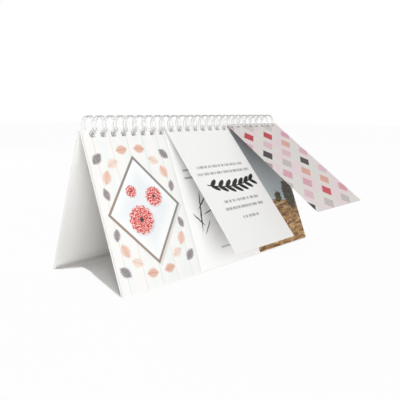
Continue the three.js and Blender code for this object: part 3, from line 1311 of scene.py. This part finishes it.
@dataclass
class PaperHinges:
    """The paper strips of the base: one in each lower corner, and the soft bend in the middle."""

    layout: Layout
    inset: float = 1.5
    thickness: float = 0.2
    flap: float = 7.0
    face_gap: float = 0.27
    fold_radius: float = 0.9
    fold_steps: int = 10
    bend_span: float = 1.5
    crease_half: float = 8.46
    crease_gap: float = 0.13
    crease_thickness: float = 0.5
    crease_steps: int = 12
    crease_keep: float = 0.25
    edge_slack: float = 0.06

    def build(self, corner: bpy.types.Material, base: bpy.types.Material) -> list[bpy.types.Object]:
        """Models both corner strips and both halves of the crease.

        Args:
            corner: The paper of the corner strips.
            base: The paper of the crease.

        Returns:
            The four pieces, front ones first.
        """
        made = []
        for side in Side:
            made += [self._corner_strip(side, corner), self._crease(side, base)]
        return made

    def _flat_strip(self, name: str, width: float, span: Point, level: float = 0.0) -> bpy.types.Object:
        """A flat strip along X, with its end edge selected in edit mode.

        Args:
            name: The piece's name.
            width: Its size along X, in millimetres.
            span: Where it starts and ends along Y.
            level: Its height.

        Returns:
            The strip, in edit mode.
        """
        start, end = span
        rest_selection()
        bpy.ops.mesh.primitive_plane_add(size=1.0, location=(0.0, (start + end) / 2 * MM, level * MM))
        piece = sized(name, width, abs(end - start))
        open_mesh(piece, "EDGE")

        def at_end(edge: bmesh.types.BMEdge) -> bool:
            """Whether an edge lies along the strip's end."""
            return all(abs(corner.co.y - end * MM) < SAME_PLACE for corner in edge.verts)

        pick(piece, "edges", at_end)
        return piece

    def _corner_strip(self, side: Side, paper: bpy.types.Material) -> bpy.types.Object:
        """A strip that turns up from the base panel to the tall board round a small radius.

        Args:
            side: The half whose lower corner it lies in.
            paper: The strip's paper.

        Returns:
            The strip at its place.
        """
        spread, slope = self.layout.spread, self.layout.slope
        corner = math.pi / 2 - spread - slope
        rise = self.fold_radius - self.face_gap
        fold = rise * (1 + math.cos(corner)) / math.sin(corner)
        width = self.layout.stand_width - 2 * self.inset
        piece = self._flat_strip(f"{side}_hinge_paper", width, (self.flap, fold), -self.face_gap)
        sweep(self.fold_steps, corner - math.pi, Vector((0.0, fold, rise)) * MM, (1.0, 0.0, 0.0))
        run = (self.flap - fold) * MM
        flap = (0.0, run * math.cos(corner), run * math.sin(corner))
        bpy.ops.mesh.extrude_region_move(TRANSFORM_OT_translate={"value": flap})
        close_mesh()
        modify(piece, "SOLIDIFY", thickness=self.thickness * MM, offset=1.0)
        self.layout.seat_on_hinge(piece, side)
        finish_piece(piece, paper, angle=60)
        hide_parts(f"{side}_hinge_strip")
        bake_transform(piece)
        return piece

    def _crease(self, side: Side, paper: bpy.types.Material) -> bpy.types.Object:
        """Half of the soft bend between the base panels, from its panel's end to the middle.

        Args:
            side: The half that it belongs to.
            paper: The crease's paper.

        Returns:
            The half crease at its place.
        """
        slope = self.layout.slope
        radius = self.crease_half / math.sin(slope)
        low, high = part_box("base_crease_strip")
        middle = (low + high) / 2
        top = (high.z - middle.z) / MM
        width = (high.x - low.x) / MM
        start = -self.crease_half - self.crease_gap * math.cos(slope)
        piece = self._flat_strip(f"{side}_crease_paper", width, (-self.crease_gap, 0.0))
        close_mesh()
        place_in_mesh(piece, Vector((0.0, -self.crease_half, radius * math.cos(slope))) * MM, slope)
        open_mesh(piece, "EDGE")
        limit = (start + self.edge_slack) * MM
        pick(piece, "edges", lambda edge: all(corner.co.y > limit for corner in edge.verts))
        sweep(self.crease_steps, -slope, Vector(), (1.0, 0.0, 0.0))
        close_mesh()
        place_in_mesh(piece, Vector((0.0, 0.0, (top - radius) * MM)))
        modify(piece, "SOLIDIFY", thickness=self.crease_thickness * MM, offset=-1.0)
        place_in_mesh(piece, middle, 0.0, side.turn)
        finish_piece(piece, paper, angle=60)
        if side is Side.FRONT:
            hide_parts("base_crease_strip")
        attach(piece, f"{side}_base")
        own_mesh(piece)
        return piece


@dataclass
class BindingWire:
    """The twin-loop wire: one length, bent into pairs of loops that hang on a spine behind the rear board."""

    layout: Layout
    radius: float = 6.30
    thickness: float = 0.9
    pair: float = 2.3
    spine_offset: float = 0.6
    seam_gap: float = 0.45
    spine_corner: float = 0.7
    weld: float = 0.02
    sides: int = 12
    leg_steps: int = 44
    tip_steps: int = 10
    corner_steps: int = 5

    def build(self, coating: bpy.types.Material) -> bpy.types.Object:
        """Bends one pair of loops, copies it along the row, and joins the copies into one wire.

        Args:
            coating: The wire's finish.

        Returns:
            The wire at its place.
        """
        places = self.layout.holes()
        first = self._pair("binding_wire", True)
        last = self._pair("binding_wire_end", False)
        between = [copy_of(first, f"binding_wire_{number}") for number in range(1, len(places) - 1)]
        rest_selection()
        for part, place in zip([first, *between, last], places):
            part.location.x = (place - places[0]) * MM
            part.select_set(True)
        bpy.context.view_layer.objects.active = first
        bpy.ops.object.transform_apply(location=True, rotation=True, scale=True)
        bpy.ops.object.join()
        place_in_mesh(first, Vector((places[0] * MM, 0.0, 0.0)))
        self._close(first)
        place_in_mesh(first, self.layout.axis)
        finish_piece(first, coating, angle=80)
        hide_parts("twin_loop_wire")
        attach(first, "front_stand")
        return first

    def _turn_of(self, length: float) -> float:
        """The angle about the wire's axis of a length along the loops."""
        return length / self.radius

    def _outward(self, angle: float) -> Vector:
        """The direction from the axis at an angle counted from straight down, round by the front."""
        return Vector((0.0, -math.sin(angle), -math.cos(angle)))

    def _pair(self, name: str, goes_on: bool) -> bpy.types.Object:
        """One pair of loops about X = 0: up one leg, round the tip, back down, and on along the spine.

        Args:
            name: The piece's name.
            goes_on: Whether the wire runs on along the spine to the next pair.

        Returns:
            The open tube.
        """
        spine = -self.layout.spread - math.asin(self.spine_offset / self.radius)
        leg_start = spine + self._turn_of(self.spine_corner)
        tip_end = 2 * math.pi + spine - self._turn_of(self.thickness + self.seam_gap)
        leg_end = tip_end - self._turn_of(self.pair / 2)
        leg = leg_end - leg_start
        half = self.pair / 2 * MM
        start = self._outward(leg_start) * self.radius * MM
        rest_selection()
        bpy.ops.mesh.primitive_circle_add(
            vertices=self.sides, radius=self.thickness / 2 * MM, fill_type="NOTHING",
            location=(-half, start.y, start.z), rotation=(math.pi / 2 - leg_start, 0.0, 0.0),
        )
        piece = named(name)
        bpy.ops.object.transform_apply(location=True, rotation=True, scale=True)
        open_mesh(piece, "EDGE")
        tip_out = self._outward(leg_end)
        sweep(self.leg_steps, leg, Vector(), (-1.0, 0.0, 0.0))
        sweep(self.tip_steps, math.pi, tip_out * self.radius * MM, -tip_out)
        sweep(self.leg_steps, leg, Vector(), (1.0, 0.0, 0.0))
        if goes_on:
            self._run_on(start + Vector((half, 0.0, 0.0)), self._outward(leg_start))
        close_mesh()
        return piece

    def _run_on(self, foot: Vector, out: Vector) -> None:
        """Turns the open end of a pair into the spine, and out of it again at the next pair.

        Args:
            foot: Where the pair's last leg ends, in metres.
            out: The direction from the wire's axis to the spine.
        """
        corner = Vector((self.spine_corner * MM, 0.0, 0.0))
        straight = Vector(((self.layout.hole_pitch - self.pair - 2 * self.spine_corner) * MM, 0.0, 0.0))
        sweep(self.corner_steps, math.pi / 2, foot + corner, out)
        bpy.ops.mesh.extrude_region_move(TRANSFORM_OT_translate={"value": straight})
        sweep(self.corner_steps, math.pi / 2, foot + corner + straight, out)

    def _close(self, piece: bpy.types.Object) -> None:
        """Merges the joints between the pairs, fills the wire's two ends and turns its faces outwards.

        Args:
            piece: The joined pairs.
        """
        open_mesh(piece, "VERT")
        bpy.ops.mesh.remove_doubles(threshold=self.weld * MM)
        bpy.ops.mesh.select_mode(type="EDGE")
        pick(piece, "edges", lambda edge: edge.is_boundary)
        bpy.ops.mesh.edge_face_add()
        face_outwards()
        close_mesh()


@dataclass
class CardColumn:
    """One column's cards: the top one lies or stands lifted, and the others rest on the front board."""

    layout: Layout
    column: Column
    prints: Sequence[bpy.types.Material]
    reverse: bpy.types.Material
    edge: bpy.types.Material
    length: float = 109.0
    thickness: float = 0.18
    gap: float = 0.12
    rows: int = 10

    @property
    def body(self) -> str:
        """The body that the top card turns with."""
        return f"{self.column}_leaf"

    def build(self) -> list[bpy.types.Object]:
        """Models one card and copies it down the stack.

        Returns:
            The cards at their places, the top one first.
        """
        low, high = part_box(f"leaf_{self.column}_1")
        blank = PunchedSheet(self.layout, low.x / MM, high.x / MM, self.length)
        first = blank.make(f"{self.column}_card_1", self.rows)
        slots = {"material_offset": 1, "material_offset_rim": 2}
        modify(first, "SOLIDIFY", thickness=self.thickness * MM, offset=0.0, **slots)
        below = [copy_of(first, f"{self.column}_card_{number}") for number in range(2, len(self.prints) + 1)]
        cards = [first, *below]
        for number, card in enumerate(cards, 1):
            self._hang(card, number)
        return cards

    def _hang(self, card: bpy.types.Object, number: int) -> None:
        """Puts a card at its place in the stack, dresses it and sets it on its body.

        Args:
            card: A card that still hangs straight down.
            number: Its number in the stack, 1 for the top one.
        """
        below = len(self.prints) - number
        off_board = self.gap + below * (self.thickness + self.gap) + self.thickness / 2
        place_in_mesh(card, Vector((0.0, (self.layout.board_face - off_board) * MM, 0.0)))
        angle = math.radians(self.column.value) if number == 1 else self.layout.spread
        place_in_mesh(card, self.layout.axis, -angle)
        finish_piece(card, self.prints[number - 1], self.reverse, self.edge)
        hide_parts(f"leaf_{self.column}_{number}")
        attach(card, self.body if number == 1 else "front_stand")


# The studio


class Lamp(Enum):
    """A soft lamp, seen from the book: its direction and its share of the lamps' power."""

    KEY = ((-0.55, -1.0, 0.2), 1.0)
    FILL = ((-1.0, -1.0, 0.2), 0.36)
    BACK = ((0.0, 1.0, 0.5), 0.6)


@dataclass
class Studio:
    """A white floor, an even white surround and three soft lamps."""

    layout: Layout
    floor_size: float = 8.0
    floor_drop: float = 0.2
    floor_tone: str = "#f4f4f4"
    floor_white: float = 0.96
    surround: float = 0.42
    lamp_distance: float = 1.2
    lamp_size: float = 0.6
    lamp_power: float = 7.4

    def build(self) -> None:
        """Makes the floor, the surround and the lamps."""
        self._floor()
        self._surround()
        for lamp in Lamp:
            self._lamp(lamp)

    def _floor(self) -> None:
        """A wide white floor that shows white and keeps a breath of the book's shadow."""
        rest_selection()
        bpy.ops.mesh.primitive_plane_add(size=self.floor_size, location=(0.0, 0.0, -self.floor_drop * MM))
        floor = named("studio_floor")
        sheet = Sheet("studio_floor")
        sheet.set(Base_Color=linear(self.floor_tone), Roughness=0.8, Specular_IOR_Level=0.1)
        rays = [f"Is {kind} Ray" for kind in ("Camera", "Glossy", "Transmission")]
        seen, glossy, through = (sheet.node("ShaderNodeLightPath", output=ray) for ray in rays)
        share = seen.most(glossy).most(through) * self.floor_white
        white = sheet.node("ShaderNodeEmission", {}, {"Color": (1.0, 1.0, 1.0, 1.0), "Strength": 1.0})
        lit = Value(sheet, sheet.surface.outputs[0])
        mixed = sheet.node("ShaderNodeMixShader", {}, {0: share, 1: lit, 2: white})
        sheet.feed(sheet.output.inputs["Surface"], mixed)
        finish_piece(floor, sheet.material)

    def _surround(self) -> None:
        """White where the camera or a gloss sees it, and a plain even light elsewhere."""
        world = bpy.data.worlds.new("studio_surround")
        bpy.context.scene.world = world
        world.use_nodes = True
        tree = world.node_tree
        tree.nodes.clear()
        path = tree.nodes.new("ShaderNodeLightPath")
        seen = tree.nodes.new("ShaderNodeMath")
        seen.operation = "MAXIMUM"
        tree.links.new(path.outputs["Is Camera Ray"], seen.inputs[0])
        tree.links.new(path.outputs["Is Glossy Ray"], seen.inputs[1])
        strength = tree.nodes.new("ShaderNodeMapRange")
        strength.inputs["To Min"].default_value = self.surround
        strength.inputs["To Max"].default_value = 1.0
        tree.links.new(seen.outputs[0], strength.inputs[0])
        light = tree.nodes.new("ShaderNodeBackground")
        light.inputs["Color"].default_value = (1.0, 1.0, 1.0, 1.0)
        tree.links.new(strength.outputs[0], light.inputs["Strength"])
        output = tree.nodes.new("ShaderNodeOutputWorld")
        tree.links.new(light.outputs[0], output.inputs["Surface"])

    def _lamp(self, lamp: Lamp) -> None:
        """Sets up a large square lamp that looks at the book's middle.

        Args:
            lamp: Which lamp it is.
        """
        direction, share = lamp.value
        towards = Vector(direction).normalized()
        middle = Vector((0.0, self.layout.axis.y, self.layout.axis.z / 2))
        rest_selection()
        bpy.ops.object.light_add(type="AREA", location=middle + towards * self.lamp_distance)
        light = bpy.context.object
        light.name = f"{lamp.name.lower()}_lamp"
        light.rotation_euler = towards.to_track_quat("Z", "Y").to_euler()
        light.data.size = self.lamp_size
        light.data.energy = self.lamp_power * share


@dataclass
class Viewpoint:
    """Where the photograph was taken from: the place in millimetres, and three turns in degrees."""

    place: tuple[float, float, float] = (-277.37, -231.45, 115.16)
    yaw: float = 46.232
    pitch: float = 10.385
    roll: float = 0.315
    lens: float = 43.722
    sensor: float = 36.0
    nearest: float = 10.0

    def build(self) -> None:
        """Makes the camera and sets it."""
        yaw, pitch, roll = (math.radians(angle) for angle in (self.yaw, self.pitch, self.roll))
        ahead = Vector((math.sin(yaw) * math.cos(pitch), math.cos(yaw) * math.cos(pitch), -math.sin(pitch)))
        level = Vector((math.cos(yaw), -math.sin(yaw), 0.0))
        upright = level.cross(ahead)
        right = level * math.cos(roll) + upright * math.sin(roll)
        up = upright * math.cos(roll) - level * math.sin(roll)
        rest_selection()
        bpy.ops.object.camera_add()
        camera = bpy.context.object
        camera.name = "photograph_view"
        turned = Matrix((right, up, -ahead)).transposed().to_4x4()
        camera.matrix_world = Matrix.Translation(Vector(self.place) * MM) @ turned
        camera.data.lens = self.lens
        camera.data.sensor_width = self.sensor
        camera.data.clip_start = self.nearest * MM
        bpy.context.scene.camera = camera


def build_columns(layout: Layout) -> list[bpy.types.Object]:
    """Prints and hangs the three columns of cards.

    Args:
        layout: The places and shared sizes.

    Returns:
        All the cards.
    """
    low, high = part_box("leaf_left_1")
    size = ((high.x - low.x) / MM, CardColumn.length)
    plain = Paper("card_white", "#f7f6f4", "#f1f0ed", 0.45, 0.008).material()
    edge = Paper("card_edge", "#fbfbfa", "#efeeeb", 0.7, 0.01).material()
    printed = {
        Column.LEFT: (
            BloomPrint("print_bloom", *size),
            SprigPrint("print_sprig_small", *size, ink="#c2615c", rule_ink="#b5b3b1"),
        ),
        Column.MIDDLE: (SprigPrint("print_sprig", *size), TwigPrint("print_twig", *size)),
        Column.RIGHT: (TilePrint("print_tiles", *size), HillPrint("print_hills", *size)),
    }
    made = []
    for column, designs in printed.items():
        prints = [*(design.material() for design in designs), plain, plain]
        made += CardColumn(layout, column, prints, plain, edge).build()
    return made


def main() -> None:
    """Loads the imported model, dresses it and sets up the studio."""
    logging.basicConfig(level=logging.INFO, format="%(message)s")
    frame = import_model()
    rest_selection()
    bpy.context.scene.view_settings.view_transform = "Standard"
    layout = Layout(frame)
    Viewpoint().build()
    Studio(layout).build()
    cover = Paper("cover_paper").material()
    # The base and crease paper is greyer: partly its own tone, partly painted shade of the tent's inside.
    base = Paper("base_paper", BASE_PAPER_AND_PAINTED_SHADE, "#d1cfcd", 0.68, 0.015).material()
    foot = layout.hinges[Side.FRONT] / MM
    middle = layout.axis.y / MM
    strip = CornerPaper("hinge_paper", middle=middle, hinge=(middle - foot.y, foot.z), slope=layout.slope)
    made = TallBoards(layout).build(cover)
    made += BasePanels(layout).build(base)
    made += PaperHinges(layout).build(strip.material(), base)
    wire = BindingWire(layout)
    coating = WireCoating(layout.axis, wire.radius, wire.pair, layout.hole_pitch)
    made.append(wire.build(coating.material()))
    made += build_columns(layout)
    for piece in made:
        LOG.info("%s: %d faces", piece.name, len(piece.data.polygons))


if __name__ == "__main__":
    main()
